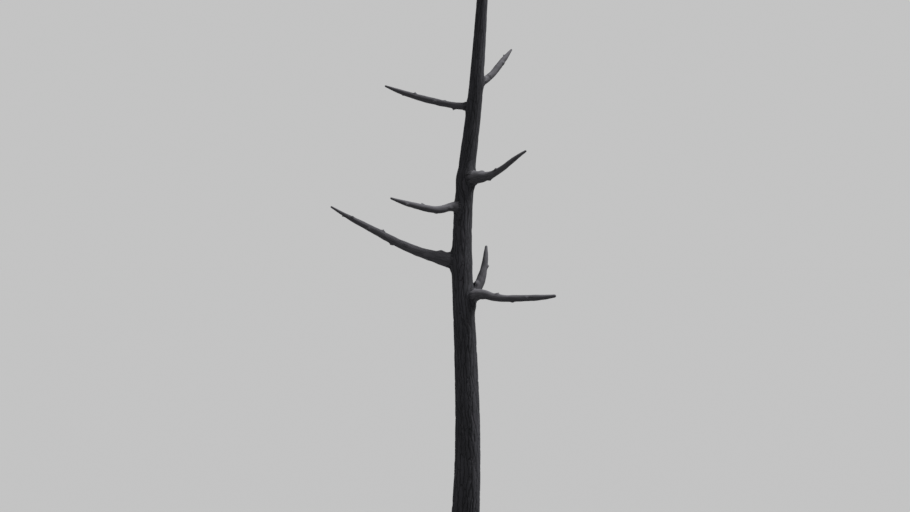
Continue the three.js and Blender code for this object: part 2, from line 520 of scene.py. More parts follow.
# %% The bark's smooth skin
FURROW_DEPTH = 0.052
COLLAR_CALM = 0.6
FOOT_CALM = 0.6
FOOT_CALM_HEIGHT = 150 * MM


def closed_skin(name, rings):
    """A closed mesh object through rings of points that run anticlockwise round a limb."""
    count, sides = rings.shape[:2]
    points = np.concatenate([rings.reshape(-1, 3), rings[[0, -1]].mean(axis=1)])
    side = np.arange(sides)
    onward = (side + 1) % sides
    first = np.arange(count - 1)[:, None] * sides
    walls = np.stack([first + side, first + onward, first + sides + onward, first + sides + side],
                     axis=2).reshape(-1, 4)
    last = (count - 1) * sides
    foot = np.stack([onward, side, np.full(sides, count * sides)], axis=1)
    tip = np.stack([last + side, last + onward, np.full(sides, count * sides + 1)], axis=1)
    mesh = bpy.data.meshes.new(name)
    mesh.from_pydata(points.tolist(), [], walls.tolist() + foot.tolist() + tip.tolist())
    smooth = np.ones(len(mesh.polygons), dtype=bool)
    smooth[len(walls):len(walls) + sides] = False
    mesh.polygons.foreach_set("use_smooth", smooth)
    made = bpy.data.objects.new(name, mesh)
    scene.collection.objects.link(made)
    return made


def store(made, name, values, ends=(0.0, 0.0)):
    """Stores a number, or a vector, for each point of the rings, and one for the two end points."""
    values = np.asarray(values)
    size = values.shape[2:]
    ends = np.array([np.broadcast_to(end, size) for end in ends])
    kind = "FLOAT_VECTOR" if size else "FLOAT"
    flat = np.concatenate([values.reshape(-1, *size), ends])
    attribute = made.data.attributes.new(name, kind, "POINT")
    attribute.data.foreach_set("vector" if size else "value", flat.ravel())


proud = column_reach + column_rise
trunk_rings = ring_middles[:, None] + proud[:, :, None] * column_ways

closing = np.linspace(0, math.pi / 2, TIP_RINGS, endpoint=False)[1:]
tip_rings = (ring_middles[-1]
             + TIP_ROUNDING * np.sin(closing)[:, None, None] * np.array([0.0, 0.0, 1.0])
             + np.cos(closing)[:, None, None] * proud[-1][:, None] * column_ways[-1])
trunk_skin = closed_skin("trunk_skin", np.concatenate([trunk_rings, tip_rings]))

tip_grain = np.repeat(trunk_grain[-1:], len(closing), axis=0)
store(trunk_skin, "grain", np.concatenate([trunk_grain, tip_grain]),
      ends=(trunk_grain[0, 0], trunk_grain[-1, 0]))
furrow_depth = FURROW_DEPTH * np.tile(ring_girth[:, None], TRUNK_SIDES)
furrow_depth *= 1 - COLLAR_CALM * column_rise / column_rise.max()
furrow_depth *= 1 - FOOT_CALM * np.clip(1 - ring_heights / FOOT_CALM_HEIGHT, 0, 1)[:, None]
store(trunk_skin, "furrow_depth", np.concatenate([furrow_depth, np.zeros((len(closing), TRUNK_SIDES))]))

print(f"the trunk's skin has {sum(len(p.vertices) - 2 for p in trunk_skin.data.polygons):,} triangles")


# %% [markdown]
# ## One helper for all nodes
#
# Geometry Nodes and materials are both node trees. One function adds any node to either: its
# settings go in by name, and each input is a value or another node's output.

# %% Adding nodes
def add(tree, kind, inputs=None, **settings):
    """Adds a node. inputs maps a socket's name or number to a value, an output or a whole node.

    A whole node stands for its first output. settings are the node's own, such as operation.
    """
    made = tree.nodes.new(kind)
    for name, value in settings.items():
        setattr(made, name, value)
    for socket, value in (inputs or {}).items():
        if isinstance(value, bpy.types.Node):
            value = value.outputs[0]
        if isinstance(value, bpy.types.NodeSocket):
            tree.links.new(value, made.inputs[socket])
        else:
            made.inputs[socket].default_value = value
    return made


# %% [markdown]
# ## Running Geometry Nodes
#
# Relief that repeats over a surface is Geometry Nodes' work: the same rule runs at every point,
# its sizes are named inputs, and a change of one size reshapes the whole bark. One list of sizes
# serves twice: its names become the tree's inputs, and its values are what the modifier gets.
#
# A relief is a sum of layers. Each layer is a pattern, measured from the value at which it leaves
# the surface where it is, times the input that says how deep it goes.
#
# Each tree here ends in Realize Instances and Set Material. Its result is kept as a plain mesh.

# %% Trees and their results
SOCKETS = {
    float: "NodeSocketFloat",
    int: "NodeSocketInt",
    bpy.types.Object: "NodeSocketObject",
    bpy.types.Material: "NodeSocketMaterial",
}


def new_tree(name, sizes):
    """A Geometry Nodes tree with a geometry and an input for each of sizes. Gives it and its inputs."""
    tree = bpy.data.node_groups.new(name, "GeometryNodeTree")
    tree.interface.new_socket("Geometry", in_out="INPUT", socket_type="NodeSocketGeometry")
    for label, size in sizes.items():
        tree.interface.new_socket(label, in_out="INPUT", socket_type=SOCKETS[type(size)])
    tree.interface.new_socket("Geometry", in_out="OUTPUT", socket_type="NodeSocketGeometry")
    return tree, add(tree, "NodeGroupInput").outputs


def layered(tree, given, layers):
    """Adds up a relief's layers: each is a pattern, its value where it lies level, and its input."""
    height = 0.0
    for pattern, level, part in layers:
        above = add(tree, "ShaderNodeMath", {0: pattern, 1: level}, operation="SUBTRACT")
        height = add(tree, "ShaderNodeMath", {0: above, 1: given[part], 2: height},
                     operation="MULTIPLY_ADD")
    return height


def end_tree(tree, geometry, given):
    """Ends a tree: the instances are made real and the material is set."""
    real = add(tree, "GeometryNodeRealizeInstances", {"Geometry": geometry})
    finish = add(tree, "GeometryNodeSetMaterial", {"Geometry": real.outputs[0],
                                                   "Material": given["Material"]})
    add(tree, "NodeGroupOutput", {"Geometry": finish.outputs[0]})


def grow(name, start, tree, sizes):
    """Runs a tree on a mesh and gives the result as an object with a plain mesh."""
    made = bpy.data.objects.new(name, start)
    scene.collection.objects.link(made)
    modifier = made.modifiers.new(tree.name, "NODES")
    modifier.node_group = tree
    for item in tree.interface.items_tree:
        if item.in_out == "INPUT" and item.name in sizes:
            modifier[item.identifier] = sizes[item.name]
    graph = bpy.context.evaluated_depsgraph_get()
    result = bpy.data.meshes.new_from_object(made.evaluated_get(graph), preserve_all_data_layers=True,
                                             depsgraph=graph)
    made.modifiers.clear()
    made.data = result
    result.materials.clear()
    result.materials.append(sizes["Material"])
    result.polygons.foreach_set("material_index", np.zeros(len(result.polygons), dtype=np.int32))
    result.name = name
    triangles = sum(len(face.vertices) - 2 for face in result.polygons)
    print(f"{name}: {triangles:,} triangles")
    return made


# %% [markdown]
# ## Patterns along the grain
#
# Nearly all that shows on bark and wood is drawn out along the grain: streaks, ridges, fibres. One
# helper adds such a noise, from the real size of its spots.
#
# Nothing in bark is straight either. Two gentle noises push the places about at which a pattern
# is read: a slow one makes its borders wander, and a quick one makes them ragged.

# %% Noises along the grain
WANDER_SIZE = 110 * MM
RIDGE_WANDER = 16 * MM
RAGGED_SIZE = 22 * MM
RAGGEDNESS = 6 * MM
PUSH_ALONG = 4


def along_grain(tree, grain, size, detail, roughness=0.5):
    """Adds a noise with spots of this real size: two widths across the grain and a length along it."""
    place = add(tree, "ShaderNodeVectorMath", {0: grain, 1: size}, operation="DIVIDE")
    return add(tree, "ShaderNodeTexNoise", {"Vector": place, "Scale": 1.0, "Detail": detail,
                                            "Roughness": roughness})


def wander(tree, grain):
    """Adds the gentle noises that push the borders about: the places at which cells are read."""
    places = grain
    for size, amount in ((WANDER_SIZE, RIDGE_WANDER), (RAGGED_SIZE, RAGGEDNESS)):
        drift = along_grain(tree, grain, (size, size, size), detail=2.0)
        centred = add(tree, "ShaderNodeVectorMath", {0: drift.outputs["Color"], 1: (0.5, 0.5, 0.5)},
                      operation="SUBTRACT")
        # Centred, the noise stays within one half either way, so it takes twice the amount.
        push = (2 * amount, 2 * amount, 2 * PUSH_ALONG * amount)
        places = add(tree, "ShaderNodeVectorMath", {0: centred, 1: push, 2: places},
                     operation="MULTIPLY_ADD")
    return places


# %% [markdown]
# ## The bark's furrows
#
# The charcoal-grey bark of the trunk is old cork that split as the trunk grew thicker. Long narrow
# furrows part it into ridges, which wander and join, and finer cracks part the ridges into blocks.
#
# It could be painted or sculpted, but bark is the same everywhere, so a rule serves better. The
# ridges are the cells round random points, stretched along the grain, and the furrows are the
# borders between cells. A second, smaller set of cells gives the cracks and the blocks, a few of
# which have fallen off.
#
# Both trees, the one that carves the relief and the one that colours it, add the same pattern, so
# the painted shade lies exactly in the furrows, even between the mesh's points.

# %% Furrows and blocks
RIDGE_SIZE = (38 * MM, 38 * MM, 260 * MM)
BLOCK_SIZE = (19 * MM, 19 * MM, 70 * MM)
FURROW_SHARE = 0.22
CRACK_SHARE = 0.14
SMALL_STEP = 0.05
FALLEN_SHARE = 0.09


def borders(tree, places, size, share, even_width=False):
    """Adds one set of cells: 0 at the bottom of the borders between them, and 1 on their plates.

    What counts is how far away a border is along the surface, and not straight into the bark. So
    the gap is divided by how fast it changes round and along the surface. A stretched cell's
    border is also wider at the cell's ends. With even_width it is as narrow there as elsewhere.
    """
    sideways = add(tree, "ShaderNodeVectorMath", {0: (0, 0, 1), 1: places}, operation="CROSS_PRODUCT")
    sideways = add(tree, "ShaderNodeVectorMath", {0: sideways}, operation="NORMALIZE")
    side_step = add(tree, "ShaderNodeVectorMath", {0: sideways, "Scale": SMALL_STEP}, operation="SCALE")
    place = add(tree, "ShaderNodeVectorMath", {0: places, 1: size}, operation="DIVIDE")
    gap = add(tree, "ShaderNodeTexVoronoi", {"Vector": place, "Scale": 1.0}, feature="DISTANCE_TO_EDGE")
    end_weight = size[0] / size[2] if even_width else 1.0
    slopes = []
    for step, weight in ((side_step, 1.0), ((0, 0, SMALL_STEP), end_weight)):
        beside = add(tree, "ShaderNodeVectorMath", {0: place, 1: step}, operation="ADD")
        gap_beside = add(tree, "ShaderNodeTexVoronoi", {"Vector": beside, "Scale": 1.0},
                         feature="DISTANCE_TO_EDGE")
        change = add(tree, "ShaderNodeMath", {0: gap_beside, 1: gap}, operation="SUBTRACT")
        slopes.append(add(tree, "ShaderNodeMath", {0: change, 1: weight / SMALL_STEP},
                          operation="MULTIPLY"))
    both = add(tree, "ShaderNodeCombineXYZ", {0: slopes[0], 1: slopes[1]})
    steepness = add(tree, "ShaderNodeVectorMath", {0: both}, operation="LENGTH")
    steepness = add(tree, "ShaderNodeMath", {0: steepness.outputs["Value"], 1: SMALL_STEP},
                    operation="MAXIMUM")
    away = add(tree, "ShaderNodeMath", {0: gap, 1: steepness}, operation="DIVIDE")
    return add(tree, "ShaderNodeMapRange", {"Value": away, "From Max": share},
               interpolation_type="SMOOTHSTEP")


def bark_blocks(tree, places):
    """Adds a number from 0 to 1 for each block of bark, and a mask that is 0 where it has fallen."""
    place = add(tree, "ShaderNodeVectorMath", {0: places, 1: BLOCK_SIZE}, operation="DIVIDE")
    cells = add(tree, "ShaderNodeTexVoronoi", {"Vector": place, "Scale": 1.0}, feature="F1")
    number = add(tree, "ShaderNodeSeparateXYZ", {0: cells.outputs["Color"]})
    kept = add(tree, "ShaderNodeMath", {0: number, 1: 1 - FALLEN_SHARE}, operation="LESS_THAN")
    return number, kept


print(f"ridges about {RIDGE_SIZE[0] / MM:.0f} by {RIDGE_SIZE[2] / MM:.0f} mm, "
      f"and blocks about {BLOCK_SIZE[0] / MM:.0f} by {BLOCK_SIZE[2] / MM:.0f} mm")


# %% [markdown]
# ## The bark's relief
#
# Furrows, cracks and fallen blocks are cut in, and rough cork covers what is left. Each has an
# input of its own, as a share of the furrow depth that the skin carries, and each point moves
# straight in or out by their sum.
#
# Close to the ground the bark only moves sideways, so the flat cut stays flat.

# %% Bark relief
CORK_STRETCH = 4.0


def bark_relief(sizes):
    """The tree that carves a bark's plates and furrows into a smooth skin."""
    tree, given = new_tree("bark_relief", sizes)
    grain = add(tree, "GeometryNodeInputNamedAttribute", {"Name": "grain"}, data_type="FLOAT_VECTOR")
    depth = add(tree, "GeometryNodeInputNamedAttribute", {"Name": "furrow_depth"})
    places = wander(tree, grain)
    plate = borders(tree, places, RIDGE_SIZE, FURROW_SHARE)
    block = borders(tree, places, BLOCK_SIZE, CRACK_SHARE)
    _, kept = bark_blocks(tree, places)
    cork_length = add(tree, "ShaderNodeMath", {0: given["Cork size"], 1: CORK_STRETCH},
                      operation="MULTIPLY")
    cork_size = add(tree, "ShaderNodeCombineXYZ", {0: given["Cork size"], 1: given["Cork size"],
                                                   2: cork_length})
    cork = along_grain(tree, grain, cork_size, detail=3.0, roughness=0.6)
    height = layered(tree, given, ((plate, 1.0, "Furrow part"), (block, 1.0, "Crack part"),
                                   (kept, 1.0, "Block part"), (cork, 0.5, "Cork part")))
    rise = add(tree, "ShaderNodeMath", {0: height, 1: depth}, operation="MULTIPLY")
    position = add(tree, "ShaderNodeSeparateXYZ", {0: add(tree, "GeometryNodeInputPosition")})
    lift = add(tree, "ShaderNodeMapRange", {"Value": position.outputs["Z"],
                                            "From Max": given["Still height"]})
    sideways = add(tree, "ShaderNodeCombineXYZ", {0: 1.0, 1: 1.0, 2: lift})
    normal = add(tree, "ShaderNodeVectorMath", {0: add(tree, "GeometryNodeInputNormal"), 1: sideways},
                 operation="MULTIPLY")
    way = add(tree, "ShaderNodeVectorMath", {0: normal}, operation="NORMALIZE")
    offset = add(tree, "ShaderNodeVectorMath", {0: way, "Scale": rise}, operation="SCALE")
    carved = add(tree, "GeometryNodeSetPosition", {"Geometry": given["Geometry"], "Offset": offset})
    end_tree(tree, carved, given)
    return tree


# %% [markdown]
# ## What is left of the boughs' bark
#
# A dead bough sheds its bark from the tip inwards. The last of it clings to the root like a
# cuff, as an extension of the trunk's own bark, and ends in ragged tongues that run out along the
# grain.
#
# How far each tongue reaches is a noise, stretched along the grain, and what it is compared with
# is the distance from the trunk's bark. Again one pattern serves both trees: it lifts the surface
# by the thickness of the bark, and it colours it.

# %% Tongues of bark
TONGUE_SIZE = (22 * MM, 22 * MM, 150 * MM)
TONGUE_NOISE = (0.35, 0.72)
TONGUE_REACH = (3 * MM, 52 * MM)
TONGUE_EDGE = 6 * MM


def bark_left(tree, grain, from_trunk):
    """Adds the tongues of bark at a bough's root: 1 where there is bark and 0 where there is none."""
    tongues = along_grain(tree, grain, TONGUE_SIZE, detail=3.0)
    reach = add(tree, "ShaderNodeMapRange", {"Value": tongues, "From Min": TONGUE_NOISE[0],
                                             "From Max": TONGUE_NOISE[1], "To Min": TONGUE_REACH[0],
                                             "To Max": TONGUE_REACH[1]})
    inside = add(tree, "ShaderNodeMath", {0: reach, 1: from_trunk}, operation="SUBTRACT")
    return add(tree, "ShaderNodeMapRange", {"Value": inside, "From Max": TONGUE_EDGE},
               interpolation_type="SMOOTHSTEP")


print(f"bark reaches {TONGUE_REACH[0] / MM:.0f} to {TONGUE_REACH[1] / MM:.0f} mm out along a bough")


# %% [markdown]
# ## Checks
#
# Once the bark has dropped, a dead bough dries, shrinks and splits. The splits are called checks:
# thin lens-shaped slits that follow the grain, because wood shrinks more round the rings than
# along them. Each check is the small neighbourhood of one random point, stretched along the grain.
# A bough has a few long ones and many short ones.

# %% Checks in the wood
# Spacing round the bough, twice, and along it. Then half the width of a check.
LONG_CHECKS = ((34 * MM, 34 * MM, 420 * MM), 5.0 * MM)
SHORT_CHECKS = ((15 * MM, 15 * MM, 160 * MM), 1.8 * MM)


def wood_checks(tree, grain, spacing, half_width):
    """Adds one kind of drying checks: 1 in the middle of a check and 0 on sound wood."""
    place = add(tree, "ShaderNodeVectorMath", {0: grain, 1: spacing}, operation="DIVIDE")
    cells = add(tree, "ShaderNodeTexVoronoi", {"Vector": place, "Scale": 1.0}, feature="F1")
    return add(tree, "ShaderNodeMapRange", {"Value": cells, "From Max": half_width / spacing[0],
                                            "To Min": 1.0, "To Max": 0.0},
               interpolation_type="SMOOTHSTEP")


for spacing, half_width in (LONG_CHECKS, SHORT_CHECKS):
    print(f"checks {2 * half_width / MM:.1f} mm wide, {spacing[0] / MM:.0f} mm apart round the bough")


# %% [markdown]
# ## Sweeping a bough
#
# A round section swept along the line makes the bough: it follows a path, so Geometry Nodes do
# it. The tree records how far round and how far along each point lies, as the grain's
# coordinates: a place on a log that thins half as fast as the bough, like the trunk's. It also
# records how far each point is from the trunk's bark.

# %% Bough sweep
def swept_bough(tree, given):
    """Adds the skin that a ring leaves on its way along the line, with what the patterns need."""
    line = add(tree, "GeometryNodeMeshToCurve", {"Mesh": given["Geometry"]})
    travel = add(tree, "GeometryNodeCaptureAttribute", {"Geometry": line})
    travel.capture_items.new("FLOAT", "along")
    tree.links.new(add(tree, "GeometryNodeSplineParameter").outputs["Length"], travel.inputs["along"])
    ring = add(tree, "GeometryNodeCurvePrimitiveCircle", {"Resolution": given["Sides"], "Radius": 1.0})
    turn = add(tree, "GeometryNodeCaptureAttribute", {"Geometry": ring})
    turn.capture_items.new("FLOAT", "around")
    tree.links.new(add(tree, "GeometryNodeSplineParameter").outputs["Factor"], turn.inputs["around"])
    girth = add(tree, "GeometryNodeInputNamedAttribute", {"Name": "girth"})
    swept = add(tree, "GeometryNodeCurveToMesh", {"Curve": travel, "Profile Curve": turn,
                                                  "Scale": girth, "Fill Caps": True})
    log_radius = add(tree, "GeometryNodeInputNamedAttribute", {"Name": "log_radius"})
    log_start = add(tree, "GeometryNodeInputNamedAttribute", {"Name": "log_start"})
    twist = add(tree, "ShaderNodeMath", {0: travel.outputs["along"], 1: given["Grain twist"]},
                operation="MULTIPLY")
    angle = add(tree, "ShaderNodeMath", {0: turn.outputs["around"], 1: 2 * math.pi, 2: twist},
                operation="MULTIPLY_ADD")
    cosine = add(tree, "ShaderNodeMath", {0: angle}, operation="COSINE")
    sine = add(tree, "ShaderNodeMath", {0: angle}, operation="SINE")
    log_x = add(tree, "ShaderNodeMath", {0: cosine, 1: log_radius}, operation="MULTIPLY")
    log_y = add(tree, "ShaderNodeMath", {0: sine, 1: log_radius}, operation="MULTIPLY")
    log_z = add(tree, "ShaderNodeMath", {0: travel.outputs["along"], 1: log_start}, operation="ADD")
    grain = add(tree, "ShaderNodeCombineXYZ", {0: log_x, 1: log_y, 2: log_z})
    grained = add(tree, "GeometryNodeStoreNamedAttribute",
                  {"Geometry": swept, "Name": "grain", "Value": grain},
                  data_type="FLOAT_VECTOR", domain="POINT")
    trunk = add(tree, "GeometryNodeObjectInfo", {"Object": given["Trunk"]})
    beside = add(tree, "GeometryNodeProximity", {"Geometry": trunk.outputs["Geometry"]},
                 target_element="FACES")
    return add(tree, "GeometryNodeStoreNamedAttribute",
               {"Geometry": grained, "Name": "from_trunk", "Value": beside.outputs["Distance"]},
               data_type="FLOAT", domain="POINT")


# %% [markdown]
# ## The bare wood's relief
#
# No bough is perfectly round, so slow lumps come first. Its surface weathers into fine ridges,
# since soft spring wood wears away sooner than hard summer wood. The long checks are cut in, and
# the short ones, too fine for the mesh, are left to the material. Where a twig once grew the wood
# swells into a knot.
#
# All of it is in shares of the bough's radius, so it fades towards the tip. Only the bark that is
# left has a real thickness. It is furrowed like the trunk's, and thickest beside the trunk.

# %% Bough relief
FURROW_LEFT = 0.3


def wood_height(tree, given, grain, girth):
    """Adds up the relief of bare wood: lumps, ridges, checks and knots."""
    lump_scale = add(tree, "ShaderNodeMath", {0: 1.0, 1: given["Lump size"]}, operation="DIVIDE")
    lumps = add(tree, "ShaderNodeTexNoise", {"Vector": add(tree, "GeometryNodeInputPosition"),
                                             "Scale": lump_scale, "Detail": 1.0})
    ridge_size = add(tree, "ShaderNodeCombineXYZ", {0: given["Ridge width"], 1: given["Ridge width"],
                                                    2: given["Ridge length"]})
    ridges = along_grain(tree, grain, ridge_size, detail=2.0)
    long_check = wood_checks(tree, grain, *LONG_CHECKS)
    sound = add(tree, "ShaderNodeMath", {0: 1.0, 1: long_check}, operation="SUBTRACT")
    twigs = add(tree, "GeometryNodeObjectInfo", {"Object": given["Knots"]})
    near = add(tree, "GeometryNodeProximity", {"Geometry": twigs.outputs["Geometry"]},
               target_element="POINTS")
    knot_reach = add(tree, "ShaderNodeMath", {0: girth, 1: given["Knot reach"]}, operation="MULTIPLY")
    knot = add(tree, "ShaderNodeMapRange", {"Value": near.outputs["Distance"], "From Max": knot_reach,
                                            "To Min": 1.0, "To Max": 0.0},
               interpolation_type="SMOOTHSTEP")
    return layered(tree, given, ((lumps, 0.5, "Lump part"), (ridges, 0.5, "Ridge part"),
                                 (sound, 1.0, "Check part"), (knot, 0.0, "Knot part")))


def cuff_height(tree, given, grain):
    """Adds the thickness of the bark that is left round a bough's root."""
    from_trunk = add(tree, "GeometryNodeInputNamedAttribute", {"Name": "from_trunk"})
    bark = bark_left(tree, grain, from_trunk)
    cuff = add(tree, "ShaderNodeMapRange", {"Value": from_trunk, "From Max": given["Cuff reach"],
                                            "To Min": given["Cuff part"], "To Max": 1.0},
               interpolation_type="SMOOTHSTEP")
    plate = borders(tree, wander(tree, grain), RIDGE_SIZE, FURROW_SHARE)
    furrowed = add(tree, "ShaderNodeMapRange", {"Value": plate, "To Min": FURROW_LEFT})
    thickness = given["Bark thickness"]
    for share in (bark, cuff, furrowed):
        thickness = add(tree, "ShaderNodeMath", {0: thickness, 1: share}, operation="MULTIPLY")
    return thickness


def bare_bough(sizes):
    """The tree that sweeps a bough along its line and weathers it."""
    tree, given = new_tree("bare_bough", sizes)
    skin = swept_bough(tree, given)
    grain = add(tree, "GeometryNodeInputNamedAttribute", {"Name": "grain"}, data_type="FLOAT_VECTOR")
    girth = add(tree, "GeometryNodeInputNamedAttribute", {"Name": "girth"})
    rise = add(tree, "ShaderNodeMath", {0: wood_height(tree, given, grain, girth), 1: girth,
                                        2: cuff_height(tree, given, grain)}, operation="MULTIPLY_ADD")
    offset = add(tree, "ShaderNodeVectorMath", {0: add(tree, "GeometryNodeInputNormal"),
                                                "Scale": rise}, operation="SCALE")
    weathered = add(tree, "GeometryNodeSetPosition", {"Geometry": skin, "Offset": offset})
    smooth = add(tree, "GeometryNodeSetShadeSmooth", {"Geometry": weathered})
    end_tree(tree, smooth, given)
    return tree


# %% [markdown]
# ## Broken twigs
#
# Every twig has snapped off, and left a stub no longer than a finger is wide. One stub is a cone
# of a few dozen faces with a ragged end. Geometry Nodes set it on each knot, point it out and a
# little towards the bough's tip, and size it to the bough.

# %% Twig stubs
def twig_stubs(sizes):
    """The tree that sets a broken twig on each point, along its own direction."""
    tree, given = new_tree("twig_stubs", sizes)
    stub = add(tree, "GeometryNodeMeshCone", {"Vertices": given["Stub sides"],
                                              "Side Segments": given["Stub rings"],
                                              "Radius Top": given["Stub taper"], "Radius Bottom": 1.0,
                                              "Depth": 1.0}, fill_type="TRIANGLE_FAN")
    sunk = add(tree, "ShaderNodeMath", {0: given["Sunk part"], 1: -1.0}, operation="MULTIPLY")
    down = add(tree, "ShaderNodeCombineXYZ", {2: sunk})
    seated = add(tree, "GeometryNodeSetPosition", {"Geometry": stub, "Offset": down})
    way = add(tree, "GeometryNodeInputNamedAttribute", {"Name": "way"}, data_type="FLOAT_VECTOR")
    turned = add(tree, "FunctionNodeAlignRotationToVector", {"Vector": way}, axis="Z")
    thickness = add(tree, "GeometryNodeInputNamedAttribute", {"Name": "thickness"})
    reach = add(tree, "GeometryNodeInputNamedAttribute", {"Name": "reach"})
    size = add(tree, "ShaderNodeCombineXYZ", {0: thickness, 1: thickness, 2: reach})
    placed = add(tree, "GeometryNodeInstanceOnPoints", {"Points": given["Geometry"], "Instance": seated,
                                                        "Rotation": turned, "Scale": size})
    real = add(tree, "GeometryNodeRealizeInstances", {"Geometry": placed})
    ragged_scale = add(tree, "ShaderNodeMath", {0: 1.0, 1: given["Ragged size"]}, operation="DIVIDE")
    ragged = add(tree, "ShaderNodeTexNoise", {"Vector": add(tree, "GeometryNodeInputPosition"),
                                              "Scale": ragged_scale, "Detail": 1.0})
    centred = add(tree, "ShaderNodeVectorMath", {0: ragged.outputs["Color"], 1: (0.5, 0.5, 0.5)},
                  operation="SUBTRACT")
    amount = add(tree, "ShaderNodeMath", {0: thickness, 1: given["Ragged part"]}, operation="MULTIPLY")
    offset = add(tree, "ShaderNodeVectorMath", {0: centred, "Scale": amount}, operation="SCALE")
    torn = add(tree, "GeometryNodeSetPosition", {"Geometry": real, "Offset": offset})
    grained = add(tree, "GeometryNodeStoreNamedAttribute",
                  {"Geometry": torn, "Name": "grain", "Value": add(tree, "GeometryNodeInputPosition")},
                  data_type="FLOAT_VECTOR", domain="POINT")
    bare = add(tree, "GeometryNodeStoreNamedAttribute",
               {"Geometry": grained, "Name": "from_trunk", "Value": given["Bare from"]},
               data_type="FLOAT", domain="POINT")
    smooth = add(tree, "GeometryNodeSetShadeSmooth", {"Geometry": bare})
    end_tree(tree, smooth, given)
    return tree


# %% [markdown]
# ## Dry, dull materials
#
# Both materials are plain. Nothing on a dead tree shines, because dry and porous cork and wood
# scatter the light, so the roughness is high and the glint at grazing angles is kept low.
#
# Colours are easiest to choose as the hex values of a colour picker, which are sRGB. Blender
# mixes light in linear values, so one function turns them over.

# %% Dry materials
def linear(hex_colour):
    """An sRGB colour such as '8a8a8c' as the linear red, green, blue and alpha that Blender uses."""
    channels = [int(hex_colour[start:start + 2], 16) / 255 for start in (0, 2, 4)]
    return [c / 12.92 if c <= 0.04045 else ((c + 0.055) / 1.055) ** 2.4 for c in channels] + [1.0]


def dry_material(name, roughness, glint):
    """A material with its tree and its shader, of this roughness and this weak a glint."""
    material = bpy.data.materials.new(name)
    material.use_nodes = True
    shader = material.node_tree.nodes["Principled BSDF"]
    shader.inputs["Roughness"].default_value = roughness
    shader.inputs["Specular IOR Level"].default_value = glint
    return material, material.node_tree, shader


# %% [markdown]
# ## Dead furrowed bark
#
# This is cork that has stood in sun and rain for years. It has gone neutral charcoal grey, a
# little bluish, with fine streaks along the grain. Painted shade turns the furrows nearly black in
# their bottom half and darkens a crack less, so the crowns of the plates look lighter.
#
# No two blocks have weathered alike. Some have fallen and left smooth inner bark, and in patches
# about half a metre long the bark has worn smoother and paler.

# %% Bark
CORK_COLOURS = (linear("1b1b1d"), linear("353539"))
CORK_STREAKS = (9 * MM, 9 * MM, 70 * MM)
WORN_COLOUR = linear("404045")
WORN_PATCHES = (250 * MM, 250 * MM, 625 * MM)
WORN_NOISE = (0.45, 0.7)
WORN_SHARE = 0.4
BLOCK_SHADES = (0.86, 1.16)
INNER_BARK = linear("323135")
# Painted shade: the colour at the bottom of the furrows, and, less, in the cracks.
FURROW_SHADE_COLOUR = linear("101011")
CROWN_START = 0.7
CROWN_LEFT = 0.1
CRACK_START = 0.6
CRACK_LEFT = 0.6
# Small scales of cork, raised one or two millimetres.
CORK_SCALES = (4 * MM, 4 * MM, 12.5 * MM)
SCALE_RISE = 2.5 * MM


def bark_colour(tree, grain):
    """Adds the bark's colour: charcoal plates, with painted shade making the furrows between them nearly
    black.
    """
    places = wander(tree, grain)
    streaks = along_grain(tree, grain, CORK_STREAKS, detail=4.0, roughness=0.65)
    crown = add(tree, "ShaderNodeMix", {"Factor": streaks, 6: CORK_COLOURS[0], 7: CORK_COLOURS[1]},
                data_type="RGBA")
    patches = along_grain(tree, grain, WORN_PATCHES, detail=3.0)
    worn = add(tree, "ShaderNodeMapRange", {"Value": patches, "From Min": WORN_NOISE[0],
                                            "From Max": WORN_NOISE[1], "To Max": WORN_SHARE})
    weathered = add(tree, "ShaderNodeMix", {"Factor": worn, 6: crown.outputs[2], 7: WORN_COLOUR},
                    data_type="RGBA")
    number, kept = bark_blocks(tree, places)
    shade = add(tree, "ShaderNodeMapRange", {"Value": number, "To Min": BLOCK_SHADES[0],
                                             "To Max": BLOCK_SHADES[1]})
    plates = add(tree, "ShaderNodeVectorMath", {0: weathered.outputs[2], "Scale": shade},
                 operation="SCALE")
    blocks = add(tree, "ShaderNodeMix", {"Factor": kept, 6: INNER_BARK, 7: plates}, data_type="RGBA")
    # Painted shade: the furrows darken to nearly black towards their bottom, and the cracks less.
    plate = borders(tree, places, RIDGE_SIZE, FURROW_SHARE, even_width=True)
    bottom = add(tree, "ShaderNodeMapRange", {"Value": plate, "From Max": CROWN_START,
                                              "To Min": CROWN_LEFT})
    block = borders(tree, places, BLOCK_SIZE, CRACK_SHARE, even_width=True)
    crack_unshaded = add(tree, "ShaderNodeMapRange", {"Value": block, "From Max": CRACK_START,
                                               "To Min": CRACK_LEFT})
    unshaded_share = add(tree, "ShaderNodeMath", {0: bottom, 1: crack_unshaded}, operation="MULTIPLY")
    colour = add(tree, "ShaderNodeMix", {"Factor": unshaded_share, 6: FURROW_SHADE_COLOUR, 7: blocks.outputs[2]},
                 data_type="RGBA")
    return colour.outputs[2]


def furrowed_bark():
    """Dead furrowed bark, weathered to charcoal."""
    material, tree, shader = dry_material("dead_furrowed_bark", roughness=0.92, glint=0.12)
    grain = add(tree, "ShaderNodeAttribute", attribute_name="grain").outputs["Vector"]
    tree.links.new(bark_colour(tree, grain), shader.inputs["Base Color"])
    scales = along_grain(tree, grain, CORK_SCALES, detail=3.0)
    bump = add(tree, "ShaderNodeBump", {"Height": scales, "Distance": SCALE_RISE, "Strength": 0.9})
    tree.links.new(bump.outputs[0], shader.inputs["Normal"])
    return material


BARK = furrowed_bark()

print("the trunk wears", BARK.name)
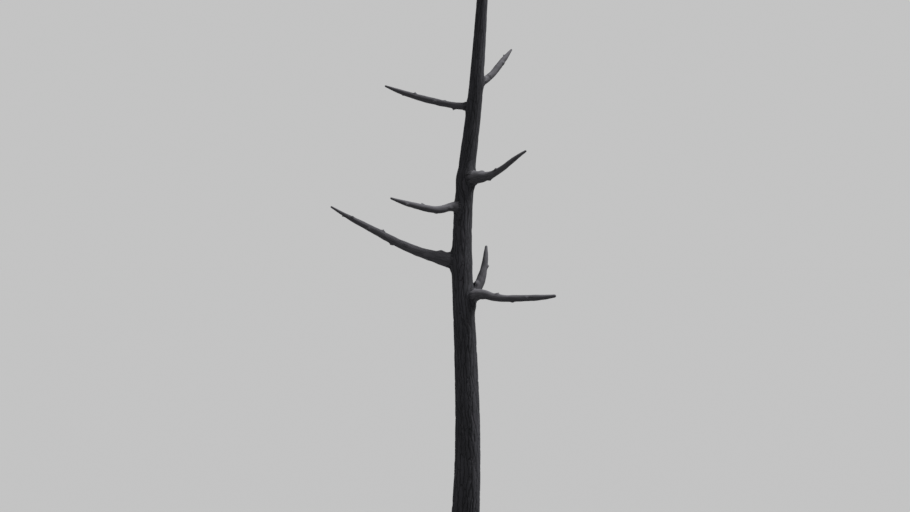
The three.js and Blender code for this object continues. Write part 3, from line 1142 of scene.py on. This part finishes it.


# %% [markdown]
# ## Weathered barkless wood
#
# Sun and rain have washed the brown out of the surface. What is left is silver grey, with streaks
# where the growth rings meet the surface. It is palest on top, in patches, partly where the sun
# bleaches it and partly as a painted highlight from the light above, and painted shade darkens the
# checks. The last of the bark round the root has the trunk's colour.
#
# Real fibres lie in strands about 0.15 mm wide. They are drawn ten times as wide, so that they show.

# %% Barkless wood
SILVER_COLOURS = (linear("232325"), linear("424145"))
RING_STREAKS = (5 * MM, 5 * MM, 145 * MM)
STREAK_NOISE = (0.3, 0.7)
BLEACHED_AND_LIT_COLOUR = linear("69686d")
BLEACHED_AND_LIT_PATCHES = (33 * MM, 33 * MM, 165 * MM)
BLEACHED_AND_LIT_FROM = -0.3
BLEACHED_AND_LIT_SHARE = 0.6
# Painted shade: the colour inside the checks.
CHECK_SHADE_COLOUR = linear("0f0f10")
SHORT_CHECK_SHARE = 0.7
SHORT_CHECK_DEPTH = 2.0
FIBRES = (1.5 * MM, 1.5 * MM, 33 * MM)
FIBRE_RISE = 0.9 * MM


def wood_colour(tree, grain, checks):
    """Adds the bare wood's colour: silver streaks, bleaching and a painted highlight on top, and painted
    shade where checks is 1.
    """
    streaks = along_grain(tree, grain, RING_STREAKS, detail=4.0, roughness=0.6)
    contrast = add(tree, "ShaderNodeMapRange", {"Value": streaks, "From Min": STREAK_NOISE[0],
                                                "From Max": STREAK_NOISE[1]})
    silver = add(tree, "ShaderNodeMix", {"Factor": contrast, 6: SILVER_COLOURS[0],
                                         7: SILVER_COLOURS[1]}, data_type="RGBA")
    # The tops are lighter: partly sun bleaching, partly a painted highlight from the light above.
    surface = add(tree, "ShaderNodeNewGeometry")
    upward = add(tree, "ShaderNodeSeparateXYZ", {0: surface.outputs["Normal"]})
    top_bleach_and_light = add(tree, "ShaderNodeMapRange", {"Value": upward.outputs["Z"],
                                               "From Min": BLEACHED_AND_LIT_FROM, "To Max": BLEACHED_AND_LIT_SHARE})
    patches = along_grain(tree, grain, BLEACHED_AND_LIT_PATCHES, detail=2.0)
    bleach_and_top_light = add(tree, "ShaderNodeMath", {0: top_bleach_and_light, 1: patches}, operation="MULTIPLY")
    weathered = add(tree, "ShaderNodeMix", {"Factor": bleach_and_top_light, 6: silver.outputs[2],
                                            7: BLEACHED_AND_LIT_COLOUR}, data_type="RGBA")
    # Painted shade darkens the wood in the checks.
    check_shaded = add(tree, "ShaderNodeMix", {"Factor": checks, 6: weathered.outputs[2], 7: CHECK_SHADE_COLOUR},
               data_type="RGBA")
    return check_shaded.outputs[2]


def barkless_wood():
    """Weathered barkless wood, washed grey, with the last of its bark round the root."""
    material, tree, shader = dry_material("weathered_barkless_wood", roughness=0.85, glint=0.16)
    grain = add(tree, "ShaderNodeAttribute", attribute_name="grain").outputs["Vector"]
    from_trunk = add(tree, "ShaderNodeAttribute", attribute_name="from_trunk").outputs["Fac"]
    short_check = wood_checks(tree, grain, *SHORT_CHECKS)
    fine_part = add(tree, "ShaderNodeMath", {0: short_check, 1: SHORT_CHECK_SHARE},
                    operation="MULTIPLY")
    # The checks' mask carries painted shade into the colour.
    checks = add(tree, "ShaderNodeMath", {0: wood_checks(tree, grain, *LONG_CHECKS), 1: fine_part},
                 operation="MAXIMUM")
    colour = add(tree, "ShaderNodeMix", {"Factor": bark_left(tree, grain, from_trunk),
                                         6: wood_colour(tree, grain, checks),
                                         7: bark_colour(tree, grain)}, data_type="RGBA")
    tree.links.new(colour.outputs[2], shader.inputs["Base Color"])
    fibres = along_grain(tree, grain, FIBRES, detail=2.0)
    carved = add(tree, "ShaderNodeMath", {0: fine_part, 1: -SHORT_CHECK_DEPTH, 2: fibres},
                 operation="MULTIPLY_ADD")
    bump = add(tree, "ShaderNodeBump", {"Height": carved, "Distance": FIBRE_RISE, "Strength": 0.8})
    tree.links.new(bump.outputs[0], shader.inputs["Normal"])
    return material


BARE_WOOD = barkless_wood()

print("the boughs are", BARE_WOOD.name)


# %% [markdown]
# ## Growing the trunk's bark
#
# The smooth skin and the relief tree come together here. All heights are shares of the furrow
# depth that the skin carries, so one number per height is enough for the thick foot and for the
# thin tip.

# %% Trunk bark
bark_sizes = {
    "Furrow part": 0.8,
    "Crack part": 0.25,
    "Block part": 0.45,
    "Cork part": 0.5,
    "Cork size": 16 * MM,
    "Still height": 60 * MM,
    "Material": BARK,
}
trunk_bark = grow("trunk_bark", trunk_skin.data, bark_relief(bark_sizes), bark_sizes)
bpy.data.objects.remove(trunk_skin)


# %% [markdown]
# ## Where the twigs were
#
# Twigs sit round a bough in a spiral, each turned on by the golden angle from the last, so that
# none shades the next. Their places are dealt out once, with a fixed seed, and serve both the
# knots in the wood and the stubs that stand on them.

# %% Twig places
TWIG_SEED = 7
TWIG_SPACING = (90 * MM, 170 * MM)
TWIG_FROM_SEAT = 130 * MM
TWIG_END = 0.88
GOLDEN_ANGLE = math.radians(137.5)
TURN_WOBBLE = 0.3
STUB_THICKNESS = (0.18, 0.32)
STUB_LIMITS = (2.4 * MM, 9 * MM)
STUB_LENGTH = (7 * MM, 17 * MM)
KNOT_PART = 0.32
STUB_LEAN = 0.7

dice = np.random.default_rng(TWIG_SEED)
twig_points, twig_ways, twig_thickness, twig_reach = [], [], [], []
for name in BOUGHS:
    line = bough_lines[name]
    travel = travel_along(line)
    start = travel[np.linalg.norm(line[:, :3] - bough_seats[name][0], axis=1).argmin()]
    place = start + TWIG_FROM_SEAT
    heading = dice.uniform(0, 2 * math.pi)
    while place < start + TWIG_END * (travel[-1] - start):
        x, y, z, radius = (float(np.interp(place, travel, column)) for column in line.T)
        step = int(np.searchsorted(travel, place))
        along = Vector(line[step, :3] - line[step - 1, :3]).normalized()
        side = along.cross(Vector((0, 0, 1))).normalized()
        out = math.cos(heading) * side + math.sin(heading) * side.cross(along)
        twig_points.append(Vector((x, y, z)) + radius * out)
        twig_ways.append((out + STUB_LEAN * along).normalized())
        twig_thickness.append(np.clip(radius * dice.uniform(*STUB_THICKNESS), *STUB_LIMITS))
        twig_reach.append(KNOT_PART * radius + dice.uniform(*STUB_LENGTH))
        place += dice.uniform(*TWIG_SPACING)
        heading += GOLDEN_ANGLE + dice.normal(0, TURN_WOBBLE)

twig_mesh = bpy.data.meshes.new("twig_places")
twig_mesh.from_pydata([list(point) for point in twig_points], [], [])
twig_mesh.attributes.new("way", "FLOAT_VECTOR", "POINT").data.foreach_set("vector", np.ravel(twig_ways))
twig_mesh.attributes.new("thickness", "FLOAT", "POINT").data.foreach_set("value", twig_thickness)
twig_mesh.attributes.new("reach", "FLOAT", "POINT").data.foreach_set("value", twig_reach)
twig_places = bpy.data.objects.new("twig_places", twig_mesh)
scene.collection.objects.link(twig_places)

print(len(twig_points), "broken twigs")


# %% [markdown]
# ## Growing the boughs
#
# Each bough's rings stand a few millimetres apart, and its last rings close the broken tip like
# a worn thumb. A bough that is thicker at its root gets more sides, so that all faces are about
# the same size.

# %% Boughs
RING_SHARE = 0.12
RING_LIMITS = (3.5 * MM, 7.5 * MM)
SIDE_WIDTH = 3.6 * MM
SIDE_LIMITS = (32, 104)
BOUGH_LOG = 50 * MM
LOG_APART = 3.7
TIP_POINTS = 7
POLE_SHARE = 0.05

wood_sizes = {
    "Sides": SIDE_LIMITS[0],
    "Grain twist": math.radians(40),
    "Lump size": 95 * MM,
    "Lump part": 0.30,
    "Ridge width": 9 * MM,
    "Ridge length": 150 * MM,
    "Ridge part": 0.09,
    "Check part": 0.16,
    "Trunk": trunk_bark,
    "Bark thickness": 3 * MM,
    "Cuff reach": 40 * MM,
    "Cuff part": 2.6,
    "Knots": twig_places,
    "Knot reach": 0.95,
    "Knot part": KNOT_PART,
    "Material": BARE_WOOD,
}


def ring_line(line, log_start):
    """A bough's rings as a mesh of points and edges, with the radius and the log at each of them."""
    travel = travel_along(line)
    spacing = np.clip(RING_SHARE * line[:, 3].max(), *RING_LIMITS)
    tip_radius = line[-1, 3]
    shoulder = travel[-1] - tip_radius
    body = np.linspace(0, shoulder, int(shoulder / spacing))
    closing = np.linspace(0, math.acos(POLE_SHARE), TIP_POINTS)[1:]
    place = np.concatenate([body, shoulder + tip_radius * np.sin(closing)])
    rings = np.stack([np.interp(place, travel, column) for column in line.T], axis=1)
    full = rings[:, 3].copy()
    rings[len(body):, 3] = full[len(body):] * np.cos(closing)
    mesh = bpy.data.meshes.new("bough_line")
    mesh.from_pydata(rings[:, :3].tolist(), [(i, i + 1) for i in range(len(rings) - 1)], [])
    values = {"girth": rings[:, 3],
              "log_radius": BOUGH_LOG * np.sqrt(full / BOUGH_LOG),
              "log_start": np.full(len(rings), log_start)}
    for name, numbers in values.items():
        mesh.attributes.new(name, "FLOAT", "POINT").data.foreach_set("value", numbers)
    return mesh


bough_tree = bare_bough(wood_sizes)
bough_pieces = {}
for order, name in enumerate(BOUGHS):
    line = bough_lines[name]
    sides = 2 * int(math.pi * line[:, 3].max() / SIDE_WIDTH)
    sides = min(max(sides, SIDE_LIMITS[0]), SIDE_LIMITS[1])
    start = ring_line(line, order * LOG_APART)
    bough_pieces[name] = grow(name + "_wood", start, bough_tree, {**wood_sizes, "Sides": sides})


# %% [markdown]
# ## Growing the stubs
#
# The stubs stand on the same places as the knots. Each starts a third of its length below the
# bough's surface and its knot has swollen round it, so that wood grows out of wood.

# %% Stubs
stub_sizes = {
    "Stub sides": 10,
    "Stub rings": 4,
    "Stub taper": 0.55,
    "Sunk part": 0.35,
    "Ragged size": 7 * MM,
    "Ragged part": 1.1,
    "Bare from": 1.0,
    "Material": BARE_WOOD,
}
dead_twigs = grow("dead_twigs", twig_mesh, twig_stubs(stub_sizes), stub_sizes)
bpy.data.objects.remove(twig_places)


# %% [markdown]
# ## Back to the frame
#
# Every piece rides on the tree's one body, and the limb of the frame that it takes the place of
# is hidden.

# %% Riding on the frame
BODY = "root"

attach(trunk_bark, BODY)
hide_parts(TRUNK)
for name, piece in bough_pieces.items():
    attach(piece, BODY)
    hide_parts(name)
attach(dead_twigs, BODY)
